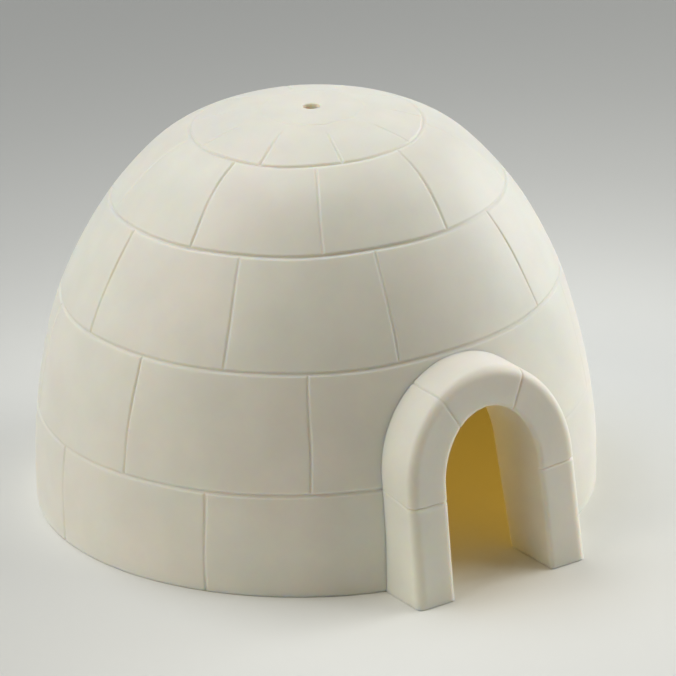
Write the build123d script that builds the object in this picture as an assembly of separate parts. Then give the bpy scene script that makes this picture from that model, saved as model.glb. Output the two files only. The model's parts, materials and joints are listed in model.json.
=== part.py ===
"""A small moulded model of a snow-block igloo: a hollow dome with an arched doorway.

The dome stands open-bottomed on its rim and has a vent hole at the crown. Its wall is laid out in
four courses of blocks, closed by a cap ring and a crown disc. The doorway is an arch of five
stones that runs out through the wall. Every joint shows as a shallow V groove.

Frame: origin on the floor under the middle of the whole model, +Z up, doorway facing -Y.
The shapes are made about the dome's own axis and moved there when they are written.
Millimetres and degrees. Bearings run from -Y towards +X, so the doorway is at bearing 0.
"""
import os
from math import asin, atan, cos, degrees, radians, sin, tan

from build123d import *

# Dome shell
BASE_RADIUS = 75.0
FULLNESS = 2.38  # exponent of the outline: 2 is an ellipse, more is squarer at the haunch
WALL = 9.4
FOOT_WALL = 5.2  # the first course thins to this at the floor

# Courses, from the floor up
COURSE_RISES = (28.2, 30.4, 25.6, 15.9)  # height of each course, on the outer face
BLOCKS_IN_COURSE = 9
FIRST_JOINT_ANGLES = (25.0, 6.5, 27.5, 10.5)  # bearing of one upright joint in each course
JOINT_GROOVE = 0.5  # chamfer on each side of a joint

# Cap
CAP_RISE = 5.4
CROWN_RADIUS = 11.5
CAP_FACETS = 10
FIRST_CAP_ANGLE = 20.0
CAP_GROOVE = 0.35
VENT_RADIUS = 2.3
VENT_OFFSET = (1.7, -1.1)  # the vent sits a little off the dome's axis

# Doorway arch
DOOR_HALF_WIDTH = 14.6  # at the springing
DOOR_RISE = 18.5  # from the springing to the underside of the crown
SPRINGING_ABOVE_BED = 0.8  # the legs turn into the head this far above the first course
LEG_BAND = 10.5  # width of the arch at the legs, seen from the front
CROWN_BAND = 9.6  # and at the crown
LEG_SPLAY_ANGLE = 1.3  # lean of the legs, outwards to the floor
DOOR_PIER_ANGLE = 18.0  # least bearing between the arch's foot and the next joint of the first course
CROWN_STONE_ANGLE = 58.0
ARCH_PROJECTION = 10.6  # front face beyond the dome's base radius, at the floor
FACE_BATTER_ANGLE = 6.9  # lean of the front face, back towards the dome
FACE_ROUNDING = 2.5
REVEAL_ROUNDING = 0.8
ARCH_GROOVE = 0.3

BED_HEIGHTS = [sum(COURSE_RISES[: k + 1]) for k in range(len(COURSE_RISES))]
DOME_HEIGHT = BED_HEIGHTS[-1] + CAP_RISE
SPRINGING = BED_HEIGHTS[0] + SPRINGING_ABOVE_BED
ARCH_REACH = BASE_RADIUS + ARCH_PROJECTION
TUNNEL_END = BASE_RADIUS / 2  # the arch is made from here outwards, then trimmed to the wall
TO_ORIGIN = Pos(0, ARCH_PROJECTION / 2, 0)


def outline_radius(height):
    """Radius of the dome's outer face at a height."""
    return BASE_RADIUS * (1 - (height / DOME_HEIGHT) ** FULLNESS) ** (1 / FULLNESS)


def outline_height(radius):
    """Height of the dome's outer face at a radius."""
    return DOME_HEIGHT * (1 - (radius / BASE_RADIUS) ** FULLNESS) ** (1 / FULLNESS)


def outline_middle(lower, upper):
    """The (radius, height) on the outline that lies between two others."""
    radius, height = [(a + b) / 2 for a, b in zip(lower, upper)]
    reach = (radius / BASE_RADIUS) ** FULLNESS + (height / DOME_HEIGHT) ** FULLNESS
    return radius * reach ** (-1 / FULLNESS), height * reach ** (-1 / FULLNESS)


def outward(point):
    """Unit normal of the outer face at a (radius, height) of the outline."""
    radius, height = point
    along_radius = (radius / BASE_RADIUS) ** (FULLNESS - 1) / BASE_RADIUS
    along_height = (height / DOME_HEIGHT) ** (FULLNESS - 1) / DOME_HEIGHT
    return Vector(along_radius, 0, along_height).normalized()


def face_lines(lower, upper):
    """Outer and inner line of the wall between two points of the outline.

    The inner line keeps the wall's thickness, and in the first course it tapers to the foot.
    """
    stations = (lower, outline_middle(lower, upper), upper)
    normals = [outward(p) for p in stations]
    outer = [Vector(r, 0, z) for r, z in stations]
    inner = [p - n * WALL for p, n in zip(outer, normals)]
    climb = [Vector(-n.Z, 0, n.X) for n in (normals[0], normals[-1])]
    if lower[1] == 0:
        inner_line = Line((lower[0] - FOOT_WALL, 0, 0), inner[-1])
    else:
        inner_line = Spline(inner, tangents=climb)
    return Spline(outer, tangents=climb), inner_line


def wall_section(lower, upper):
    """Section of the wall between two points of the outline, with its beds square to the face."""
    outer, inner = face_lines(lower, upper)
    return make_face([outer, Line(outer @ 1, inner @ 1), inner, Line(inner @ 0, outer @ 0)])


def at_bearing(shape, bearing):
    """Turns a shape made at +X to a bearing."""
    return Rot(0, 0, bearing - 90) * shape


def block(lower, upper, bearing, width, groove):
    """A piece of the wall from a bearing round to bearing + width, its outer edges chamfered."""
    piece = revolve(wall_section(lower, upper), Axis.Z, width)
    outer_face = max(piece.faces(), key=lambda f: f.position_at(0.5, 0.5).length)
    return at_bearing(chamfer(outer_face.edges(), groove), bearing)


def cavity(levels):
    """The hollow inside the wall, from the floor to the underside of the crown."""
    inner = [face_lines(a, b)[1] for a, b in zip(levels, levels[1:])]
    foot = inner[0] @ 0
    top = inner[-1] @ 1
    return revolve(make_face([*inner, Line(top, (0, 0, 0)), Line((0, 0, 0), foot)]), Axis.Z)


def arch_outline(half_width, rise):
    """An arch seen from the front: an elliptical head that runs on into two splayed legs."""
    splay = radians(LEG_SPLAY_ANGLE)
    turn = atan(tan(splay) * rise / half_width)  # where the ellipse leans as the legs do
    shoulder = (half_width * cos(turn), SPRINGING + rise * sin(turn))
    foot = shoulder[0] + shoulder[1] * tan(splay)
    head = EllipticalCenterArc(
        (0, SPRINGING), half_width, rise, degrees(turn), arc_size=180 - 2 * degrees(turn)
    )
    left_shoulder = (-shoulder[0], shoulder[1])
    edges = [
        Line((foot, 0), shoulder),
        head,
        Line(left_shoulder, (-foot, 0)),
        Line((-foot, 0), (foot, 0)),
    ]
    return make_face(edges)


def tunnel(outline):
    """Runs an arch outline from inside the dome out to the arch's front face."""
    run = extrude(Plane.XZ.offset(TUNNEL_END) * outline, ARCH_REACH - TUNNEL_END)
    batter = radians(FACE_BATTER_ANGLE)
    front = Plane((0, -ARCH_REACH, 0), x_dir=(1, 0, 0), z_dir=(0, -cos(batter), sin(batter)))
    return split(run, bisect_by=front, keep=Keep.BOTTOM)


def is_at_reveal(point):
    """Whether a point of the arch is nearer to the doorway's edge than to the outside."""
    half_width = DOOR_HALF_WIDTH + LEG_BAND / 2
    if point.Z < SPRINGING:
        return abs(point.X) < half_width + (SPRINGING - point.Z) * tan(radians(LEG_SPLAY_ANGLE))
    across = point.X / half_width
    up = (point.Z - SPRINGING) / (DOOR_RISE + CROWN_BAND / 2)
    return across**2 + up**2 < 1


def rounded_arch(outside, inside):
    """The whole arch between its outer and inner run, with its front edges rounded."""
    arch = outside - inside
    for at_reveal, rounding in ((True, REVEAL_ROUNDING), (False, FACE_ROUNDING)):
        front = arch.faces().filter_by(GeomType.PLANE).sort_by(Axis.Y)[0]
        edges = [e for e in front.edges() if (e @ 0.5).Z > 0]
        arch = fillet([e for e in edges if is_at_reveal(e @ 0.5) == at_reveal], rounding)
    return arch


def fanned_joint(angle):
    """Plane of a joint through the middle of the springing, at an angle right of the top."""
    turn = radians(angle)
    return Plane((0, 0, SPRINGING), x_dir=(0, 1, 0), z_dir=(cos(turn), 0, -sin(turn)))


def eased(stone, joint):
    """Chamfers a stone's edges at a joint, all but the one at its back."""
    face = min(stone.faces(), key=lambda f: abs(joint.to_local_coords(f.center()).Z))
    return chamfer(face.edges().sort_by(Axis.Y)[:-1], ARCH_GROOVE)


def arch_stones(outside, inside, hollow):
    """The five stones of the arch by name, each trimmed to the wall's inner face."""
    arch = rounded_arch(outside, inside)
    bed = Plane((0, 0, BED_HEIGHTS[0]))
    right_joint = fanned_joint(CROWN_STONE_ANGLE / 2)
    left_joint = fanned_joint(-CROWN_STONE_ANGLE / 2)
    legs = split(arch, bisect_by=bed, keep=Keep.BOTTOM)
    left_leg = split(legs, bisect_by=Plane.YZ, keep=Keep.BOTTOM)
    right_leg = split(legs, bisect_by=Plane.YZ, keep=Keep.TOP)
    head = split(arch, bisect_by=bed, keep=Keep.TOP)
    right_haunch = split(head, bisect_by=right_joint, keep=Keep.TOP)
    rest_of_head = split(head, bisect_by=right_joint, keep=Keep.BOTTOM)
    crown_stone = split(rest_of_head, bisect_by=left_joint, keep=Keep.TOP)
    left_haunch = split(rest_of_head, bisect_by=left_joint, keep=Keep.BOTTOM)
    stones = {
        "arch_left_leg": eased(left_leg, bed),
        "arch_left_haunch": eased(eased(left_haunch, bed), left_joint),
        "arch_crown_stone": eased(eased(crown_stone, left_joint), right_joint),
        "arch_right_haunch": eased(eased(right_haunch, bed), right_joint),
        "arch_right_leg": eased(right_leg, bed),
    }
    return {name: stone - hollow for name, stone in stones.items()}


def joints(course):
    """Bearings of a course's upright joints, starting and ending with the same one."""
    pitch = 360 / BLOCKS_IN_COURSE
    bearings = [FIRST_JOINT_ANGLES[course] + pitch * k for k in range(BLOCKS_IN_COURSE + 1)]
    if course > 0:
        return bearings
    foot = degrees(asin((DOOR_HALF_WIDTH + LEG_BAND) / BASE_RADIUS))
    nearest = foot + DOOR_PIER_ANGLE
    return [0.0] + [b for b in bearings if nearest < b < 360 - nearest] + [360.0]


def course_blocks(levels, doorway):
    """Every block of the four courses by name, cut back to the arch at the doorway."""
    blocks = {}
    for course, (lower, upper) in enumerate(zip(levels, levels[1:])):
        bearings = joints(course)
        for index, (start, end) in enumerate(zip(bearings, bearings[1:])):
            piece = block(lower, upper, start, end - start, JOINT_GROOVE)
            blocks[f"course_{course + 1}_block_{index + 1}"] = piece - doorway
    return blocks


def cap_ring(lower, upper):
    """The ring under the crown disc: facets in one piece, with a groove at each joint."""
    width = 360 / CAP_FACETS
    facets = [
        block(lower, upper, FIRST_CAP_ANGLE + width * k, width, CAP_GROOVE)
        for k in range(CAP_FACETS)
    ]
    return facets[0].fuse(*facets[1:])


def crown_disc(lower, top):
    """The disc that closes the dome, with the vent through it."""
    disc = revolve(wall_section(lower, top), Axis.Z)
    rim = max(disc.edges().filter_by(GeomType.CIRCLE), key=lambda e: e.radius)
    disc = chamfer(rim, CAP_GROOVE)
    return disc - extrude(Pos(*VENT_OFFSET) * Circle(VENT_RADIUS), DOME_HEIGHT + WALL)


def main():
    """Makes every piece and writes each to its own file."""
    levels = [(BASE_RADIUS, 0.0)] + [(outline_radius(z), z) for z in BED_HEIGHTS]
    crown = (CROWN_RADIUS, outline_height(CROWN_RADIUS))
    top = (0.0, DOME_HEIGHT)
    outside = tunnel(arch_outline(DOOR_HALF_WIDTH + LEG_BAND, DOOR_RISE + CROWN_BAND))
    inside = tunnel(arch_outline(DOOR_HALF_WIDTH, DOOR_RISE))
    pieces = course_blocks(levels, outside)
    pieces["cap_ring"] = cap_ring(levels[-1], crown)
    pieces["crown_disc"] = crown_disc(crown, top)
    pieces.update(arch_stones(outside, inside, cavity(levels + [crown, top])))
    os.makedirs("parts", exist_ok=True)
    for name, piece in pieces.items():
        export_step(TO_ORIGIN * piece, f"parts/{name}.step")


main()
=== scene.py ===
"""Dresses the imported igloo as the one-piece waxy moulding that it is.

The dome is one closed skin: grooved courses outside, the plain drafted core face inside. The arch
of the doorway is a second closed piece, run through the wall. Both are worked out in millimetres
about the dome's own axis and written in metres. Bearings run from -Y towards +X, in degrees.
A place on the outer face is given by its bearing and its run, the length of outline below it.
"""
import json
from math import atan, atan2, cos, degrees, pi, radians, sin, sqrt, tan

import bpy
import bmesh
import numpy as np
from mathutils import Matrix, Vector

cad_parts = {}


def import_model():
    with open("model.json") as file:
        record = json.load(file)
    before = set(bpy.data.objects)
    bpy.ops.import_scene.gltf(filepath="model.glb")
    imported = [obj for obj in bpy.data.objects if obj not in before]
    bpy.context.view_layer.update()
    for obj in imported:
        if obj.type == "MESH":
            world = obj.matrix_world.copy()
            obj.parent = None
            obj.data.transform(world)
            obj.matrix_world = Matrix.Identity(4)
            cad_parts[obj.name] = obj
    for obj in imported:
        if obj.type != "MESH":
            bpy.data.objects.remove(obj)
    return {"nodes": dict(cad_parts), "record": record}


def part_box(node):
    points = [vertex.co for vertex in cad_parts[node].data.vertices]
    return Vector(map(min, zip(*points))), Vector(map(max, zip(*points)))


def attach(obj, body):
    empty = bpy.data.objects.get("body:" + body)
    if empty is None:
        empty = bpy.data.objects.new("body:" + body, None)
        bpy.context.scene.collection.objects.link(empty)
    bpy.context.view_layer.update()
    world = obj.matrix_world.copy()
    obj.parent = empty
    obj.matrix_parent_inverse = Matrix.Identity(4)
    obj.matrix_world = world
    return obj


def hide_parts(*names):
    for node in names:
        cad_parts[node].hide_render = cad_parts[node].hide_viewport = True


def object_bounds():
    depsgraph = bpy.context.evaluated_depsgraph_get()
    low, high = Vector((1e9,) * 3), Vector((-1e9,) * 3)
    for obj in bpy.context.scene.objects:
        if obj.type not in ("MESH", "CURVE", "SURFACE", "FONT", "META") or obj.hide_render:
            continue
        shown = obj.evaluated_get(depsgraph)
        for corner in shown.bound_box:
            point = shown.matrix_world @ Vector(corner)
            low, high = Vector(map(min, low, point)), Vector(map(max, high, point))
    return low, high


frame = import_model()
CAD_LOW, CAD_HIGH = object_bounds()

MM = 0.001
SEEN_BEARING = -33.2  # the side that the camera looks at

SKIN_INSET = 0.1  # keeps the skin inside the box of the solids

# Read from the frame
CROWN_LOW, CROWN_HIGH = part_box("crown_disc")
AXIS = (CROWN_LOW + CROWN_HIGH) / 2
DOME_HEIGHT = CROWN_HIGH.z / MM
BASE_RADIUS = (CAD_HIGH.x - CAD_LOW.x) / 2 / MM - SKIN_INSET
ARCH_REACH = (AXIS.y - CAD_LOW.y) / MM
VENT = next(m for m in frame["record"]["mounts"] if m["name"] == "vent")
VENT_X = (VENT["pos_m"][0] - AXIS.x) / MM
VENT_Y = (VENT["pos_m"][1] - AXIS.y) / MM
VENT_RADIUS = VENT["dims"]["r_mm"]
WALL_NODES = [n for n in frame["nodes"] if not n.startswith("arch_")]
ARCH_NODES = [n for n in frame["nodes"] if n.startswith("arch_")]

# Dome
FULLNESS = 2.38  # exponent of the outline, as in the part
WALL = 9.4
FOOT_WALL = 5.2  # the wall's thickness at the floor
FOOT_EDGE = 0.4
FIRST_BED = 28.2  # the inner face is straight up to this height
CROWN_RADIUS = 13.8  # at the corners of the crown disc's straight sides
CROWN_SHIFT = (0.45, -0.3)
CROWN_FACING = 0.2  # the least by which a side of the disc counts as facing a bearing
VENT_EDGE = 0.35
VENT_BLEND = (3.5, 9.5)  # radii between which the rings move over from the vent to the axis

# How far the outer face stands off the even curve, by run, and how far the dome leans to the seen
# side's right, by height. Both are rounded off over BLEND
SWELLS = (
    (0, 0), (14, 0.12), (28, -0.2), (42, -0.54), (56, -0.6), (70, -0.99), (82, -0.83), (94, -0.37),
    (106, 0.73), (118, 0.53), (147, -0.11),
)
LEANS = ((0, 0), (14, 0.2), (48, 0.08), (78, 0.95), (105.5, 1.42))
BLEND = 8.0
BLEND_STEPS = 17
OUTLINE_STEPS = 6001

# The surface is slightly wavy, and the whole relief fades out over the last stretch to the vent
WAVE_DEPTH = 0.05
WAVE_LENGTH = 34
WAVE_RADIUS = 60
WAVE_SEED = 1
CROWN_FADE = 12

# A wavy surface is the mean of this many sine waves. The number of a wave gives its share of the wave
# length and its shift, and together with the surface's seed its direction
WAVE_COUNT = 5
WAVE_TURNS = (1.7, 2.4)
WAVE_SHARES = (0.7, 0.23)
WAVE_SHIFT = 1.3

# Beds: mean height, and tilt in degrees towards the seen side's right and towards the viewer
BEDS = ((28.31, 1.0, -0.55), (58.81, 0.76, -0.91), (83.45, 0.88, 0.18), (100.75, 0.48, -0.95))
BED_WANDERS = ((0.12, 5, 1), (0.1, 9, 2.1))  # size, waves round the dome, and their shift with each bed

# Upright joints of each course: bearing at mid height, how far the top leans on from the foot, and
# how strongly the joint is pressed
JOINTS = (
    ((65, 0, 1), (105, 1, 1), (145, -1, 1), (185, 1.5, 1), (225, 0, 1), (265, -0.1, 1.3),
     (304.3, 0, 1)),
    ((46.5, 1, 0.4), (86.5, -1, 1), (126.5, 1, 1), (166.5, 0, 1), (206.5, -1.5, 1), (246.5, 1, 1),
     (285.6, 0.9, 1), (325.9, -0.1, 0.9)),
    ((28.9, -1.6, 0.9), (68, -1, 1), (107.5, 1, 1), (147.5, 0, 1), (187.5, 1.5, 1), (227.5, -1, 1),
     (267.1, -0.7, 1.4), (306.9, -0.5, 0.7), (345.5, -1.4, 0.9)),
    ((11, 3.2, 0.9), (51, -2, 0.5), (90.5, 2, 1), (130.5, -1, 1), (170.5, 2, 1), (210.5, -1, 1),
     (250.5, 1, 0.6), (290.2, -0.4, 1.1), (329.5, -0.8, 0.65)),
    ((22, -3, 0.5), (56.5, -3, 0.4), (91, 3, 0.6), (126, 0, 0.6), (160.5, 3, 0.6), (195, -2, 0.6),
     (230, 2, 0.3), (264.4, 0, 0.6), (303.4, 1, 1), (341.6, -1, 0.9)),
    (),
)
CAP = 4  # the course above the last bed; the crown disc, above it, has no joints
CAP_JOINT_END = (0.55, 0.8)  # shares of the cap's width over which its joints run out

# Grooves: half widths below and above a bed, depths by bed and by course, and how strongly each bed
# is pressed as (bearing, factor) points
BED_HALF = (0.85, 0.62)
BED_DEPTHS = (0.46, 0.55, 0.56, 0.5, 0.22)
BED_STRENGTHS = (
    ((-120, 0.8), (-100, 0.4), (-85, 0.45), (-65, 0.85), (-40, 1.1), (-15, 1.1), (15, 0.12),
     (60, 0.12), (90, 0.8)),
    ((-120, 0.8), (-100, 0.6), (-60, 0.45), (-45, 0.85), (-20, 0.95), (0, 0.8), (30, 0.65),
     (60, 0.6), (90, 0.8)),
    ((-120, 0.8), (-90, 0.7), (-70, 0.85), (-40, 0.8), (-20, 0.95), (0, 0.8), (20, 0.3),
     (60, 0.4), (90, 0.8)),
    ((-120, 0.5), (-90, 0.4), (-72, 1.1), (-45, 1.15), (-15, 0.62), (15, 1.0), (60, 0.6), (90, 0.8)),
    ((-90, 0.4), (-60, 0.6), (-35, 1), (-10, 0.7), (20, 0.4)),
)
BED_UNEVEN = (0.12, 5)  # share by which a bed's depth varies, and in how many waves round the dome
JOINT_HALF = 0.58
JOINT_DEPTHS = (0.3, 0.3, 0.29, 0.28, 0.46, 0.0)
JOINT_UNEVEN = 0.25  # share by which a joint's depth varies from joint to joint, and again along it
JOINT_TURNS = (1.3, 7)  # how quickly it does so, with the bearing and along the joint
JOINT_WANDER = (0.15, 6)  # degrees by which it wanders, and how quickly

# Mesh of the dome: distances from the middle of a groove of the rows and columns beside it, the
# step between the others, and the bearing steps of the rings that have no joints
NEAR = (0.0, 0.14, 0.28, 0.42, 0.58, 0.8, 1.2)
BED_GAP = 0.06  # the rows of two courses stop this far from the bed between them
STEP = 2.2
CAP_STEP = 0.7 * STEP
FOOT_TURN = 2.0
CORE_TURN = 3.0
VENT_TURN = 5.0
CORE_ROWS = (12, 60)  # up the straight foot, and from there to the vent
SAME_COLUMN = 1.5  # vertices of two rings within this bearing are joined by a four-sided face
CLOSE = 1e-9  # for a comparison of two lengths

# Doorway arch: the part's form, with slightly wider legs and a slightly narrower opening
ARCH_SHIFT = 0.4
DOOR_HALF_WIDTH = 14.3
DOOR_RISE = 18.1
SPRINGING = 29.0
LEG_BAND = 11.2
CROWN_BAND = 10.0
LEG_SPLAY = 1.3
FACE_BATTER = 6.9
FACE_ROUNDING = 2.5
REVEAL_ROUNDING = 1.2
FOOT_ROUNDING = 0.6
ARCH_DRAFT = 0.03  # share of the band that the outside loses on its way back to the wall
EXTRADOS_RISE = 0.95  # the outside rises and widens as it goes back, most of all at the crown
EXTRADOS_SPREAD = 0.008
LINER_SHARE = 0.35  # share of the band that runs on through the wall
BURIED_SHARE = 0.4  # share of the wall's thickness at which the rest of the band ends in it
ARCH_WAVE_DEPTH = 0.06
ARCH_WAVE_LENGTH = 16
ARCH_WAVE_SEED = 3

# Joints of the arch: bearings about the springing, and heights at the wall, the front edge and the reveal
CROWN_JOINTS = (-30.0, 25.6)
LEG_JOINTS = {-1: (28.1, 26.4, 26.1), 1: (28.1, 27.5, 26.9)}
HEAD_CLEAR = 5.0  # the crown's joints begin this far above the springing
ARCH_GROOVE_HALF = 0.45
LEG_GROOVE_DEPTH = 0.5
CROWN_GROOVE_DEPTH = 0.26
OUTSIDE_LOSS = (0.6, 6)  # share of a leg's groove lost on the outside, and how quickly

# Mesh of the arch: heights of the stations up a leg, bearings over the head, distances from a joint
LEG_HEIGHTS = (0.0, 0.1, 0.25, 0.42, 0.6, *np.arange(1.5, 26.0, 1.0), *np.arange(26.1, 28.9, 0.14))
HEAD_STEP = 2.0
HEAD_BEARINGS = np.arange(-87.0, 87.01, HEAD_STEP)
ARCH_NEAR = (-0.6, -0.45, -0.3, -0.15, 0, 0.15, 0.3, 0.45, 0.6)
HEAD_RADIUS = 22.0  # at which those distances are turned into bearings
RING_STEPS = {"reveal edge": 4, "front": 16, "front edge": 8, "outside": 26, "back": 6, "reveal": 24}

# Cutter for the doorway: front and back, how far it goes under the floor, and its steps
CUTTER_DEPTHS = (-95.0, -45.0)
CUTTER_FOOT = -3.0
CUTTER_HEIGHTS = (0.0, 5.0, 10.0, 15.0, 20.0, 25.0)
CUTTER_BEARINGS = np.arange(-86, 86.1, 4)

# Edges that turn by more than this many degrees stay sharp in the shading
SHARP_ANGLE = 45

# Plastics: colour, share of light scattered inside, reach of red, green and blue in it, roughness
SNOW = ((0.78, 0.757, 0.672), 1.0, (2.8, 2.1, 1.3), 0.5)
# The inner face's ochre colour is painted light: it stands in for the warm light that comes through the
# wall
CORE_PAINTED_LIGHT = ((0.75, 0.55, 0.2), 0.0, (1, 1, 1), 0.6)
REFRACTION = 1.45

# Their unevenness: two tints and a range of shades in patches, a spread of the roughness, and a fine
# grain. Each noise has a scale to the metre and a detail
PATCH_RANGE = (0.36, 0.64)  # the stretch of the noise that goes from one kind of patch to the other
TINTS = ((0.985, 1.003, 0.995), (1.015, 0.997, 0.995))
TINT_NOISE = (30, 3)
SHADES = (0.975, 1.02)
SHADE_NOISE = (75, 5)
ROUGHNESS_SPREAD = 0.08
ROUGHNESS_NOISE = (120, 3)
GRAIN_STRENGTH = 0.12
GRAIN_DEPTH = 0.15
GRAIN_NOISE = (900, 5)

# Painted glow: an emission that stands in for the light that comes through the wall and makes the inside
# glow. The doorway's reveal has a painted glow from its inner edge, less and less towards the front,
# between two places along its depth
CORE_GLOW = (1.0, 0.76, 0.13)
CORE_STRENGTH = 0.14
REVEAL_GLOW = (1.0, 0.66, 0.06)
REVEAL_STRENGTH = 0.062
REVEAL_DEPTHS = (-77.0, -65.0)

# Camera. Its target lies to the seen side's right, and up, from the middle of the dome's foot
VIEW_ELEVATION = 22.19
VIEW_ROLL = -1.84
VIEW_DISTANCE = 1196.175
VIEW_TARGET = (6.975, 0, 40.125)
LENS = 240.65
SENSOR = 36.0
CLIP = (0.05, 50)

# Lamps: name, bearing from the seen side's, elevation, watts and colour. They look at LAMP_AIM
LAMP_DISTANCE = 1.2
LAMP_SIZE = 0.9
LAMP_AIM = Vector((0, 0, 0.05))
LAMPS = (
    ("left_low", -90, 10, 2.0, (0.86, 0.93, 1)),
    ("left", -60, 35, 6.2, (1, 0.935, 0.81)),
    ("right_low", 120, 10, 10.1, (0.9, 0.94, 1)),
    ("right", 95, 35, 7.1, (1, 0.98, 0.92)),
    ("left_high", -120, 62, 9.2, (0.87, 0.92, 1)),
)

# Floor, in metres, with painted light and shade: (share of FLOOR_REACH, painted shade) points by the
# distance from the middle of a painted pool of light under the dome, which lies to the seen side's right
# and a little towards the viewer
FLOOR_SIZE = 3.0
FLOOR_ROUGHNESS = 0.9
FLOOR_COLOUR = (1.015, 1.01, 0.95)
FLOOR_PAINTED_LIGHT_AT = Vector((0.050, -0.015, 0))
FLOOR_REACH = 0.5
FLOOR_PAINTED_SHADES = (
    (0.02, 0.95), (0.14, 0.74), (0.26, 0.74), (0.38, 0.57), (0.5, 0.47), (0.66, 0.379), (0.85, 0.324),
)
BACKGROUND = (0.33, 0.33, 0.31, 1)


def smooth_waves(along, across, length, seed):
    """A gentle irregular surface from -1 to 1: a few sine waves that cross at odd angles."""
    total = 0
    for k in range(WAVE_COUNT):
        turn = seed * WAVE_TURNS[0] + k * WAVE_TURNS[1]
        size = length * (WAVE_SHARES[0] + WAVE_SHARES[1] * k)
        travelled = (along * cos(turn) + across * sin(turn)) / size
        total = total + np.sin(travelled * 2 * pi + seed + WAVE_SHIFT * k)
    return total / WAVE_COUNT


def groove(distance, half_width, depth):
    """Depth of a soft rounded groove at a distance from its middle."""
    inside = np.clip(1 - (distance / half_width) ** 2, 0, None)
    return depth * inside ** 2


# ---------------------------------------------------------------- outline of the dome

def blended(at, points):
    """Value at a place on a broken line of (place, value) points that is rounded off over BLEND."""
    places, values = zip(*points)
    steps = np.linspace(-1, 1, BLEND_STEPS)
    shares = np.cos(steps * pi / 2) ** 2
    shares = shares / shares.sum()
    return sum(share * np.interp(at + BLEND * step, places, values) for step, share in zip(steps, shares))


def outline_table():
    """The outer face from floor to top: run, radius, height and the two parts of its unit normal."""
    turn = np.linspace(0, pi / 2, OUTLINE_STEPS)
    radius = BASE_RADIUS * np.cos(turn).clip(0) ** (2 / FULLNESS)
    height = DOME_HEIGHT * np.sin(turn) ** (2 / FULLNESS)
    run = np.concatenate([[0], np.cumsum(np.hypot(np.diff(radius), np.diff(height)))])
    across = (radius / BASE_RADIUS) ** (FULLNESS - 1) / BASE_RADIUS
    up = (height / DOME_HEIGHT) ** (FULLNESS - 1) / DOME_HEIGHT
    length = np.hypot(across, up)
    across, up = across / length, up / length
    swell = blended(run, SWELLS)
    return run, radius + swell * across, np.maximum.accumulate(height + swell * up), across, up


RUN, RADIUS, HEIGHT, OUT_ACROSS, OUT_UP = outline_table()


def run_at_height(height):
    """Run of the outline at a height."""
    return np.interp(height, HEIGHT, RUN)


def run_at_radius(radius):
    """Run of the outline at a radius."""
    return np.interp(-radius, -RADIUS, RUN)


def crown_side(bearing):
    """Radius of the crown disc's edge: straight from each of the cap's joints to the next."""
    sides = []
    around = [joint[0] for joint in JOINTS[CAP]]
    for start, end in zip(around, around[1:] + [around[0] + 360]):
        apart = np.radians((bearing - (start + end) / 2 + 180) % 360 - 180)
        facing = np.cos(apart).clip(CROWN_FACING)
        sides.append(cos(radians(end - start) / 2) / facing)
    return CROWN_RADIUS * np.min(sides, axis=0)


def bed_run(bed, bearing):
    """Run of a bed at a bearing: each ring is tilted a little and wanders."""
    turn = np.radians(bearing)
    if bed < len(BEDS):
        wander = sum(size * np.sin(waves * turn + shift * bed) for size, waves, shift in BED_WANDERS)
        height, right_tilt, near_tilt = BEDS[bed]
        radius = np.interp(height, HEIGHT, RADIUS)
        seen = turn - radians(SEEN_BEARING)
        slope = tan(radians(right_tilt)) * np.sin(seen) + tan(radians(near_tilt)) * np.cos(seen)
        return run_at_height(height + radius * slope) + wander
    side = crown_side(bearing)
    return run_at_radius(side + CROWN_SHIFT[0] * np.sin(turn) - CROWN_SHIFT[1] * np.cos(turn))


def dome_point(bearing, radius, height):
    """Place in the dome's own millimetres of a bearing, radius and height."""
    turn = np.radians(bearing)
    shift = np.clip((VENT_BLEND[1] - radius) / (VENT_BLEND[1] - VENT_BLEND[0]), 0, 1)
    shift = shift * shift * (3 - 2 * shift)
    lean = blended(height, LEANS) * (1 - shift)
    across = radius * np.sin(turn) + VENT_X * shift + lean * cos(radians(SEEN_BEARING))
    along = -radius * np.cos(turn) + VENT_Y * shift + lean * sin(radians(SEEN_BEARING))
    return np.stack([across, along, height + 0 * turn], -1)


# ---------------------------------------------------------------- courses

def joint_bearing(joint, share):
    """Bearing of an upright joint at a share of its course's height."""
    middle, lean, _ = joint
    size, haste = JOINT_WANDER
    return middle + lean * (share - 0.5) + size * np.sin(share * haste + middle)


def course_rows(gap, step):
    """Rows of a course: close together beside its two beds, evenly spaced between them."""
    count = max(2, int(round((gap - 2 * NEAR[-1]) / step)))
    middle = np.linspace(NEAR[-1], gap - NEAR[-1], count + 1)[1:-1]
    return [*NEAR, *middle, *[gap - n for n in reversed(NEAR)]]


def course_columns(joints, radius):
    """Columns of a course as (joint, offset of the near ones, share between the near ones)."""
    columns = []
    for index, joint in enumerate(joints):
        following = joints[(index + 1) % len(joints)]
        width = radians((following[0] - joint[0]) % 360) * radius
        count = max(2, int(round((width - 2 * NEAR[-1]) / STEP)))
        columns += [(index, offset, None) for offset in NEAR]
        columns += [(index, NEAR[-1], k / count) for k in range(1, count)]
        columns += [(index, -offset, 1.0) for offset in reversed(NEAR[1:])]
    return columns


def column_bearing(joints, column, share, radius):
    """Bearing of a column at a share of the course's height, where the outline has a radius."""
    index, offset, between = column
    start = joint_bearing(joints[index], share)
    end = joint_bearing(joints[(index + 1) % len(joints)], share)
    if index + 1 == len(joints):
        end = end + 360
    turn = np.degrees(offset / radius)
    if between is None:
        return start + turn
    if offset < 0:
        return end + turn
    return start + turn + (end - start - 2 * turn) * between


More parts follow.
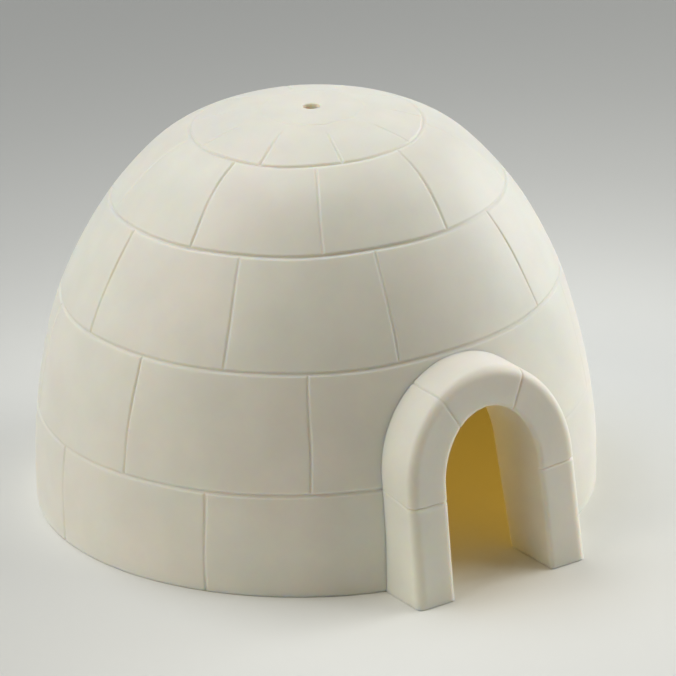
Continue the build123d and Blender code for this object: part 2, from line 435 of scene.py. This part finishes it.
def bed_depth(bed, bearing, run):
    """Depth of a bed's groove at a place on the outer face."""
    share, waves = BED_UNEVEN
    strength = BED_DEPTHS[bed] * (1 + share * np.sin(np.radians(bearing) * waves + bed))
    strength = strength * np.interp((bearing + 180) % 360 - 180, *zip(*BED_STRENGTHS[bed]))
    above = run - bed_run(bed, bearing)
    return groove(above, np.where(above < 0, *BED_HALF), strength)


def joint_depth(course, joint, bearing, share, radius):
    """Depth of an upright joint's groove at a place on the outer face."""
    middle, _, pressed = joint
    apart = (bearing - joint_bearing(joint, share) + 180) % 360 - 180
    uneven = JOINT_UNEVEN * sin(middle * JOINT_TURNS[0])
    uneven = uneven + JOINT_UNEVEN * np.sin(share * JOINT_TURNS[1] + middle)
    strength = JOINT_DEPTHS[course] * pressed * (1 + uneven)
    if course == CAP:
        strength = strength * np.interp(share, CAP_JOINT_END, (1, 0))
    return groove(np.radians(apart) * radius, JOINT_HALF, strength)


def course_depth(course, bearing, run, share, radius):
    """How far the skin lies under the plain outline: the grooves, less the slight waviness."""
    depth = np.zeros_like(run)
    for bed in range(len(BED_DEPTHS)):
        depth = np.maximum(depth, bed_depth(bed, bearing, run))
    for joint in JOINTS[course]:
        depth = np.maximum(depth, joint_depth(course, joint, bearing, share, radius))
    waves = smooth_waves(np.radians(bearing) * WAVE_RADIUS, run, WAVE_LENGTH, WAVE_SEED)
    depth = depth - waves * WAVE_DEPTH + WAVE_DEPTH
    return depth * np.clip((RUN[-1] - run) / CROWN_FADE, 0, 1)


def row_run(row, top_row, start, end):
    """Run of a row: a fixed distance from the nearer bed, or a share of the way between them."""
    if row <= NEAR[-1]:
        return start + row
    if row >= top_row - NEAR[-1] - CLOSE:
        return end - (top_row - row)
    share = (row - NEAR[-1]) / (top_row - 2 * NEAR[-1])
    return start + NEAR[-1] + (end - start - 2 * NEAR[-1]) * share


def course_grid(course):
    """(bearings, places) of each row of one course of the outer skin."""
    joints = JOINTS[course]
    crown = len(JOINTS) - 1
    low = FOOT_EDGE if course == 0 else float(bed_run(course - 1, 0.0))
    top = run_at_radius(VENT_RADIUS + VENT_EDGE) if course == crown else float(bed_run(course, 0.0))
    rows = course_rows(top - low, STEP if course < CAP else CAP_STEP)
    columns = course_columns(joints, float(np.interp((low + top) / 2, RUN, RADIUS)))
    grid = []
    for row in rows:
        share = row / (top - low)
        radius = float(np.interp(low + row, RUN, RADIUS))
        if joints:
            bearing = np.array([column_bearing(joints, c, share, radius) for c in columns])
        else:
            bearing = np.arange(0, 360, VENT_TURN)
        start = np.full_like(bearing, FOOT_EDGE) if course == 0 else bed_run(course - 1, bearing) + BED_GAP
        end = np.full_like(bearing, top) if course == crown else bed_run(course, bearing) - BED_GAP
        run = row_run(row, rows[-1], start, end)
        radius = np.interp(run, RUN, RADIUS)
        depth = course_depth(course, bearing, run, share, radius)
        radius = radius - depth * np.interp(run, RUN, OUT_ACROSS)
        height = np.interp(run, RUN, HEIGHT) - depth * np.interp(run, RUN, OUT_UP)
        grid.append((bearing, dome_point(bearing, radius, height)))
    return grid


def inner_profile():
    """(radius, height) of the inner face, from the floor up to the vent's lower edge."""
    keep = HEIGHT >= FIRST_BED
    radius = RADIUS[keep] - WALL * OUT_ACROSS[keep]
    height = HEIGHT[keep] - WALL * OUT_UP[keep]
    foot = np.array([[BASE_RADIUS - FOOT_WALL, 0.0]])
    above = np.stack([radius, height], 1)
    straight = foot + (above[0] - foot) * np.linspace(0, 1, CORE_ROWS[0])[:, None]
    above = above[above[:, 0] > VENT_RADIUS]
    picks = np.linspace(0, len(above) - 1, CORE_ROWS[1]).astype(int)
    end = np.array([[VENT_RADIUS, above[-1, 1]]])
    return np.concatenate([straight[:-1], above[picks], end])


INNER = inner_profile()


def inner_radius(height):
    """Radius of the inner face at a height."""
    return np.interp(height, INNER[:, 1], INNER[:, 0])


# ---------------------------------------------------------------- meshes

class Skin:
    """Collects rings of vertices and the faces between them."""

    def __init__(self):
        self.places, self.bearings, self.faces, self.inside = [], [], [], []

    def ring(self, bearings, places):
        """Adds a ring and gives its vertices in order of bearing."""
        first = len(self.places)
        self.places += [tuple(p) for p in places]
        self.bearings += [b % 360 for b in bearings]
        made = range(first, first + len(places))
        return sorted(made, key=lambda v: self.bearings[v])

    def zipped(self, lower, upper, inside=False):
        """Joins two rings, whatever their numbers of vertices."""
        i = j = 0
        n, m = len(lower), len(upper)
        while i < n or j < m:
            a, b = lower[i % n], upper[j % m]
            next_a = self.bearings[lower[(i + 1) % n]] + 360 * ((i + 1) // n)
            next_b = self.bearings[upper[(j + 1) % m]] + 360 * ((j + 1) // m)
            even = n == m and abs(next_a - next_b) < SAME_COLUMN
            if even and i < n and j < m:
                self.faces.append((a, lower[(i + 1) % n], upper[(j + 1) % m], b))
                i, j = i + 1, j + 1
            elif j >= m or (i < n and next_a <= next_b):
                self.faces.append((a, lower[(i + 1) % n], b))
                i += 1
            else:
                self.faces.append((a, upper[(j + 1) % m], b))
                j += 1
            self.inside.append(inside)


def mesh_object(name, places, faces, materials=()):
    """A mesh object in the frame, from places in the dome's own millimetres and material numbers."""
    mesh = bpy.data.meshes.new(name)
    shift = Vector((AXIS.x, AXIS.y, 0))
    mesh.from_pydata([Vector(p) * MM + shift for p in places], [], faces)
    made = bpy.data.objects.new(name, mesh)
    bpy.context.scene.collection.objects.link(made)
    shaped = bmesh.new()
    shaped.from_mesh(mesh)
    bmesh.ops.recalc_face_normals(shaped, faces=shaped.faces)
    shaped.to_mesh(mesh)
    shaped.free()
    for polygon, material in zip(mesh.polygons, materials):
        polygon.material_index = int(material)
    return made


def smoothed(made):
    """Shades smooth, all but the sharp edges."""
    made.data.shade_smooth()
    made.data.set_sharp_from_angle(angle=radians(SHARP_ANGLE))


def dome_skin():
    """The whole dome wall as one closed mesh, before the doorway is cut."""
    skin = Skin()
    around = np.arange(0, 360, FOOT_TURN)
    base = skin.ring(around, dome_point(around, BASE_RADIUS - FOOT_EDGE, 0.0))
    below = base
    for course in range(len(JOINTS)):
        for bearings, places in course_grid(course):
            ring = skin.ring(bearings, places)
            skin.zipped(below, ring)
            below = ring
    around = np.arange(0, 360, VENT_TURN)
    above = skin.ring(around, dome_point(around, VENT_RADIUS, DOME_HEIGHT - VENT_EDGE))
    skin.zipped(below, above)
    around = np.arange(0, 360, CORE_TURN)
    for step, (radius, height) in enumerate(INNER[::-1]):
        ring = skin.ring(around, dome_point(around, radius, height))
        skin.zipped(above, ring, inside=step > 0)
        above = ring
    skin.zipped(above, base)
    return mesh_object("dome_wall", skin.places, skin.faces, skin.inside)


# ---------------------------------------------------------------- arch

def band(share):
    """Half width and rise of the arch's outline at a share from the reveal to the outside."""
    return DOOR_HALF_WIDTH + LEG_BAND * share, DOOR_RISE + CROWN_BAND * share


def head_turn(share):
    """Where the head's ellipse leans as the legs do, as the angle from its springing."""
    half_width, rise = band(share)
    return atan(tan(radians(LEG_SPLAY)) * rise / half_width)


def arch_place(station, share):
    """(x, z) of a station of the arch at a share from the reveal to the outside."""
    kind, side, value = station
    half_width, rise = band(share)
    turn = head_turn(share)
    shoulder = (half_width * cos(turn), SPRINGING + rise * sin(turn))
    if kind == "leg":
        return side * (shoulder[0] + (shoulder[1] - value) * tan(radians(LEG_SPLAY))), value
    last = degrees(atan2(shoulder[0], shoulder[1] - SPRINGING))
    angle = radians(max(-last, min(last, value)))
    reach = 1 / sqrt((sin(angle) / half_width) ** 2 + (cos(angle) / rise) ** 2)
    return reach * sin(angle), SPRINGING + reach * cos(angle)


def arch_stations():
    """Stations from the left foot over the crown to the right foot, close at the joints."""
    left = [("leg", -1, h) for h in LEG_HEIGHTS]
    right = [("leg", 1, h) for h in reversed(LEG_HEIGHTS)]
    bearings = list(HEAD_BEARINGS)
    for joint in CROWN_JOINTS:
        bearings = [b for b in bearings if abs(b - joint) > HEAD_STEP]
        bearings += [joint + degrees(offset / HEAD_RADIUS) for offset in ARCH_NEAR]
    head = [("head", 0, b) for b in sorted(bearings)]
    return [*left, *head, *right]


def arch_ring():
    """Round one section of the arch: (share across, depth, groove direction, kind).

    The depth is in millimetres on the front, and a share of the way back on the other kinds.
    """
    ring = []
    steps = RING_STEPS
    band_width = (LEG_BAND + CROWN_BAND) / 2
    start = REVEAL_ROUNDING / band_width
    end = 1 - FACE_ROUNDING / band_width
    for k in range(steps["reveal edge"] + 1):
        turn = k / steps["reveal edge"] * pi / 2
        ring.append((start * (1 - cos(turn)), REVEAL_ROUNDING * (1 - sin(turn)), (0, 1), "front"))
    for k in range(1, steps["front"]):
        ring.append((start + (end - start) * k / steps["front"], 0.0, (0, 1), "front"))
    for k in range(steps["front edge"] + 1):
        turn = k / steps["front edge"] * pi / 2
        share = end + FACE_ROUNDING * sin(turn) / band_width
        ring.append((share, FACE_ROUNDING * (1 - cos(turn)), (-sin(turn), cos(turn)), "front"))
    for k in range(1, steps["outside"] + 1):
        ring.append((1.0, k / steps["outside"], (-1, 0), "outside"))
    for k in range(1, steps["back"] + 1):
        ring.append((1 - (1 - LINER_SHARE) * k / steps["back"], 1.0, (0, 0), "back"))
    ring += [(LINER_SHARE, 1.0, (0, 0), "core"), (LINER_SHARE / 2, 1.0, (0, 0), "core")]
    for k in range(steps["reveal"]):
        ring.append((0.0, 1 - k / steps["reveal"], (0, 0), "reveal"))
    return ring


def arch_grooves(x, z, share, back):
    """Depth of the arch's joints at a place: share across the face, or back along the outside."""
    at_wall, at_edge, at_reveal = LEG_JOINTS[-1 if x < 0 else 1]
    level = at_edge + (at_wall - at_edge) * back if back > 0 else at_reveal + (at_edge - at_reveal) * share
    loss, haste = OUTSIDE_LOSS
    depth = groove(z - level, ARCH_GROOVE_HALF, LEG_GROOVE_DEPTH * (1 - loss * min(1, haste * back)))
    for joint in CROWN_JOINTS:
        off = x * cos(radians(joint)) - (z - SPRINGING) * sin(radians(joint))
        if z > SPRINGING + HEAD_CLEAR:
            depth = max(depth, groove(off, ARCH_GROOVE_HALF, CROWN_GROOVE_DEPTH))
    return depth


def foot_inset(station):
    """How far the rounding of a leg's foot draws in the section at a station."""
    if station[0] == "head" or station[2] >= FOOT_ROUNDING:
        return 0.0
    return FOOT_ROUNDING - sqrt(FOOT_ROUNDING ** 2 - (FOOT_ROUNDING - station[2]) ** 2)


def arch_vertex(station, point):
    """Place of one vertex of the arch, in the dome's own millimetres."""
    share, along, direction, kind = point
    liner_to_outside = (share - LINER_SHARE) / (1 - LINER_SHARE)
    if kind == "outside":
        share -= ARCH_DRAFT * along
    if kind == "back":
        share -= ARCH_DRAFT * liner_to_outside
    width = LEG_BAND if station[0] == "leg" else CROWN_BAND
    inset = foot_inset(station)
    x, z = arch_place(station, share)
    depth = wave = 0.0
    if direction != (0, 0):
        depth = arch_grooves(x, z, share, along if kind == "outside" else 0.0)
        wave = ARCH_WAVE_DEPTH
    moved = share + direction[0] * depth / width
    moved = min(max(moved, inset / width), 1 - inset / width)
    x, z = arch_place(station, moved)
    face = -(ARCH_REACH - z * tan(radians(FACE_BATTER)))
    wave = wave * (smooth_waves(x, z, ARCH_WAVE_LENGTH, ARCH_WAVE_SEED) + 1)
    if kind == "front":
        return x, face + max(along, inset) + direction[1] * (depth + wave), z
    outer = np.interp(z, HEIGHT, RADIUS) - WALL * BURIED_SHARE
    middle = -sqrt(outer ** 2 - x ** 2)
    core = -sqrt(inner_radius(z) ** 2 - x ** 2)
    if kind == "core":
        return x, core, z
    if kind == "reveal":
        front = face + max(REVEAL_ROUNDING, inset)
        return x, front + (core - front) * along, z
    lift = max(0.0, (z - SPRINGING) / (DOOR_RISE + CROWN_BAND)) ** 2
    lift = lift * (along if kind == "outside" else 1.0) * (share - LINER_SHARE) / (1 - LINER_SHARE)
    x, z = x * (1 + EXTRADOS_SPREAD * lift), z + EXTRADOS_RISE * lift
    if kind == "back":
        return x, middle, z
    front = face + FACE_ROUNDING
    return x, front + (middle - front) * along, z


def arch_piece():
    """The arch as one closed mesh, whose reveal has a material of its own, with a painted glow."""
    stations, ring = arch_stations(), arch_ring()
    places = [arch_vertex(s, p) for s in stations for p in ring]
    places = [(x + ARCH_SHIFT, y, z) for x, y, z in places]
    around = len(ring)
    faces, inside = [], []
    for k in range(len(stations) - 1):
        for i in range(around):
            a, b = k * around + i, k * around + (i + 1) % around
            faces.append((a, b, b + around, a + around))
            inside.append(ring[i][3] in ("core", "reveal"))
    last = (len(stations) - 1) * around
    faces.append(tuple(range(around)))
    faces.append(tuple(last + i for i in reversed(range(around))))
    made = mesh_object("doorway_arch", places, faces, inside)
    shaped = bmesh.new()
    shaped.from_mesh(made.data)
    bmesh.ops.triangulate(shaped, faces=[f for f in shaped.faces if len(f.verts) > 4])
    shaped.to_mesh(made.data)
    shaped.free()
    return made


def doorway_cutter():
    """A closed prism with the outline of the arch's liner."""
    stations = [("leg", -1, CUTTER_FOOT)] + [("leg", -1, h) for h in CUTTER_HEIGHTS]
    stations += [("head", 0, b) for b in CUTTER_BEARINGS]
    stations += [("leg", 1, h) for h in reversed(CUTTER_HEIGHTS)] + [("leg", 1, CUTTER_FOOT)]
    outline = [arch_place(s, LINER_SHARE) for s in stations]
    count = len(outline)
    places = [(x + ARCH_SHIFT, y, z) for y in CUTTER_DEPTHS for x, z in outline]
    faces = [(k, (k + 1) % count, (k + 1) % count + count, k + count) for k in range(count)]
    faces += [tuple(range(count)), tuple(range(2 * count - 1, count - 1, -1))]
    return mesh_object("doorway_cutter", places, faces)


def cut_doorway(dome):
    """Cuts the dome's wall for the arch's liner."""
    cutter = doorway_cutter()
    modifier = dome.modifiers.new("doorway", "BOOLEAN")
    modifier.operation = "DIFFERENCE"
    modifier.solver = "EXACT"
    modifier.object = cutter
    graph = bpy.context.evaluated_depsgraph_get()
    cut = bpy.data.meshes.new_from_object(dome.evaluated_get(graph))
    dome.modifiers.clear()
    dome.data = cut
    bpy.data.objects.remove(cutter)


# ---------------------------------------------------------------- materials

def fill(tree, node, inputs):
    """Sets a node's inputs or, where a value is another node's output, links them to it."""
    for name, value in inputs.items():
        if isinstance(value, bpy.types.NodeSocket):
            tree.links.new(value, node.inputs[name])
        else:
            node.inputs[name].default_value = value


def added(tree, kind, inputs, **settings):
    """A new node with its settings and inputs."""
    node = tree.nodes.new(kind)
    for name, setting in settings.items():
        setattr(node, name, setting)
    fill(tree, node, inputs)
    return node


def own_place(tree):
    """Where a point lies in its object, in metres."""
    return added(tree, "ShaderNodeTexCoord", {}).outputs["Object"]


def spread(tree, value, low, high, start=0.0, end=1.0):
    """A value that goes from low to high while another goes from start to end."""
    inputs = {"Value": value, "From Min": start, "From Max": end, "To Min": low, "To Max": high}
    return added(tree, "ShaderNodeMapRange", inputs).outputs["Result"]


def mixed(tree, first, second, share, **settings):
    """A mix of two colours."""
    inputs = {"A": first, "B": second, "Factor": share}
    return added(tree, "ShaderNodeMix", inputs, data_type="RGBA", **settings).outputs["Result"]


def new_material(name):
    """A material with its node tree and its shader."""
    material = bpy.data.materials.new(name)
    material.use_nodes = True
    return material, material.node_tree, material.node_tree.nodes["Principled BSDF"]


def plastic(name, colour, scatter, reach, roughness):
    """Matte waxy plastic: soft light inside it, faint patches of tint and shade, and a fine grain."""
    material, tree, shader = new_material(name)
    place = own_place(tree)

    def noise(scale, detail):
        inputs = {"Vector": place, "Scale": scale, "Detail": detail}
        return added(tree, "ShaderNodeTexNoise", inputs).outputs["Fac"]

    first, second = [(*[c * t for c, t in zip(colour, tint)], 1) for tint in TINTS]
    tinted = mixed(tree, first, second, spread(tree, noise(*TINT_NOISE), 0, 1, *PATCH_RANGE))
    shades = spread(tree, noise(*SHADE_NOISE), *SHADES, *PATCH_RANGE)
    rough = (roughness - ROUGHNESS_SPREAD, roughness + ROUGHNESS_SPREAD)
    grain = {"Strength": GRAIN_STRENGTH, "Distance": GRAIN_DEPTH * MM, "Height": noise(*GRAIN_NOISE)}
    fill(tree, shader, {
        "Base Color": mixed(tree, tinted, shades, 1, blend_type="MULTIPLY"),
        "Roughness": spread(tree, noise(*ROUGHNESS_NOISE), *rough),
        "IOR": REFRACTION,
        "Subsurface Weight": scatter,
        "Subsurface Radius": reach,
        "Subsurface Scale": MM,
        "Normal": added(tree, "ShaderNodeBump", grain).outputs["Normal"],
    })
    return material


def glowing(material, colour, strength, front=None, back=None):
    """Paints a glow that stands in for light through the wall: evenly, or from nothing at a front to all
    of it at a back.
    """
    tree = material.node_tree
    if front is not None:
        depth = added(tree, "ShaderNodeSeparateXYZ", {0: own_place(tree)}).outputs["Y"]
        strength = spread(tree, depth, 0, strength, front * MM + AXIS.y, back * MM + AXIS.y)
    glow = {"Emission Color": (*colour, 1), "Emission Strength": strength}
    fill(tree, tree.nodes["Principled BSDF"], glow)


# ---------------------------------------------------------------- setting

def floor():
    """A pale floor whose colour darkens slowly away from the object: a painted pool of light fading into
    painted shade.
    """
    mesh = bpy.data.meshes.new("floor")
    size = FLOOR_SIZE
    corners = [(-size, -size, 0), (size, -size, 0), (size, size, 0), (-size, size, 0)]
    mesh.from_pydata(corners, [], [(0, 1, 2, 3)])
    made = bpy.data.objects.new("floor", mesh)
    bpy.context.scene.collection.objects.link(made)
    material, tree, shader = new_material("floor")
    centre = Matrix.Rotation(radians(SEEN_BEARING), 3, "Z") @ FLOOR_PAINTED_LIGHT_AT
    apart = added(tree, "ShaderNodeVectorMath", {0: own_place(tree), 1: centre}, operation="DISTANCE")
    share = added(tree, "ShaderNodeMath", {0: apart.outputs["Value"], 1: FLOOR_REACH}, operation="DIVIDE")
    # Painted light and shade: the floor's colour darkens with distance from the painted pool of light
    ramp = added(tree, "ShaderNodeValToRGB", {"Fac": share.outputs[0]})
    ramp.color_ramp.interpolation = "B_SPLINE"
    stops = ramp.color_ramp.elements
    while len(stops) < len(FLOOR_PAINTED_SHADES):
        stops.new(0.5)
    for stop, (at, shade) in zip(stops, FLOOR_PAINTED_SHADES):
        stop.position = at
        stop.color = (*[c * shade for c in FLOOR_COLOUR], 1)
    fill(tree, shader, {"Base Color": ramp.outputs["Color"], "Roughness": FLOOR_ROUGHNESS})
    mesh.materials.append(material)


def lamp(name, bearing, elevation, watts, colour):
    """A square softbox that looks at the object."""
    light = bpy.data.lights.new(name, "AREA")
    light.shape = "SQUARE"
    light.size = LAMP_SIZE
    light.energy = watts
    light.color = colour
    made = bpy.data.objects.new(name, light)
    turn, rise = radians(bearing), radians(elevation)
    back = Vector((sin(turn) * cos(rise), -cos(turn) * cos(rise), sin(rise)))
    made.location = back * LAMP_DISTANCE + LAMP_AIM
    made.rotation_mode = "QUATERNION"
    made.rotation_quaternion = (-back).to_track_quat("-Z", "Y")
    made.visible_camera = False
    bpy.context.scene.collection.objects.link(made)


def lights():
    """Soft studio light from both sides and from behind, high and low."""
    for name, bearing, elevation, watts, colour in LAMPS:
        lamp(name, SEEN_BEARING + bearing, elevation, watts, colour)


def world():
    """A plain background where the camera or a reflection sees past the floor, and no light from it."""
    made = bpy.data.worlds.new("world")
    bpy.context.scene.world = made
    made.use_nodes = True
    tree = made.node_tree
    dark = tree.nodes["Background"]
    dark.inputs["Color"].default_value = (0, 0, 0, 1)
    seen = added(tree, "ShaderNodeBackground", {"Color": BACKGROUND})
    rays = added(tree, "ShaderNodeLightPath", {}).outputs
    either = {0: rays["Is Camera Ray"], 1: rays["Is Glossy Ray"]}
    share = added(tree, "ShaderNodeMath", either, operation="MAXIMUM").outputs[0]
    mix = added(tree, "ShaderNodeMixShader", {"Fac": share, 1: dark.outputs[0], 2: seen.outputs[0]})
    tree.links.new(mix.outputs[0], tree.nodes["World Output"].inputs["Surface"])


def camera():
    """The camera, which looks at the seen side from a little above and is rolled slightly."""
    made = bpy.data.objects.new("camera", bpy.data.cameras.new("camera"))
    bpy.context.scene.collection.objects.link(made)
    bpy.context.scene.camera = made
    made.data.lens = LENS
    made.data.sensor_width = SENSOR
    made.data.clip_start, made.data.clip_end = CLIP
    turned = Matrix.Rotation(radians(SEEN_BEARING), 3, "Z")
    rise, roll = radians(VIEW_ELEVATION), radians(VIEW_ROLL)
    back = turned @ Vector((0, -cos(rise), sin(rise)))
    right = turned @ Vector((1, 0, 0))
    up = turned @ Vector((0, sin(rise), cos(rise)))
    side = cos(roll) * right + sin(roll) * up
    over = -sin(roll) * right + cos(roll) * up
    target = turned @ Vector(VIEW_TARGET) * MM + Vector((AXIS.x, AXIS.y, 0))
    place = Matrix.Translation(target + back * VIEW_DISTANCE * MM)
    made.matrix_world = place @ Matrix((side, over, back)).transposed().to_4x4()


bpy.context.scene.view_settings.view_transform = "Standard"
camera()
floor()
lights()
world()

snow = plastic("snow_plastic", *SNOW)
# The inner face: a painted ochre colour and a painted glow, both standing in for light that comes through
# the wall
core = plastic("core_painted_glow", *CORE_PAINTED_LIGHT)
glowing(core, CORE_GLOW, CORE_STRENGTH)
# The reveal: the snow plastic with a painted glow that stands in for light that comes through the wall
reveal = plastic("reveal_painted_glow", *SNOW)
glowing(reveal, REVEAL_GLOW, REVEAL_STRENGTH, *REVEAL_DEPTHS)

dome = dome_skin()
cut_doorway(dome)
dome.data.materials.append(snow)
dome.data.materials.append(core)
smoothed(dome)
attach(dome, "root")
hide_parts(*WALL_NODES)

arch = arch_piece()
arch.data.materials.append(snow)
arch.data.materials.append(reveal)
smoothed(arch)
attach(arch, "root")
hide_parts(*ARCH_NODES)
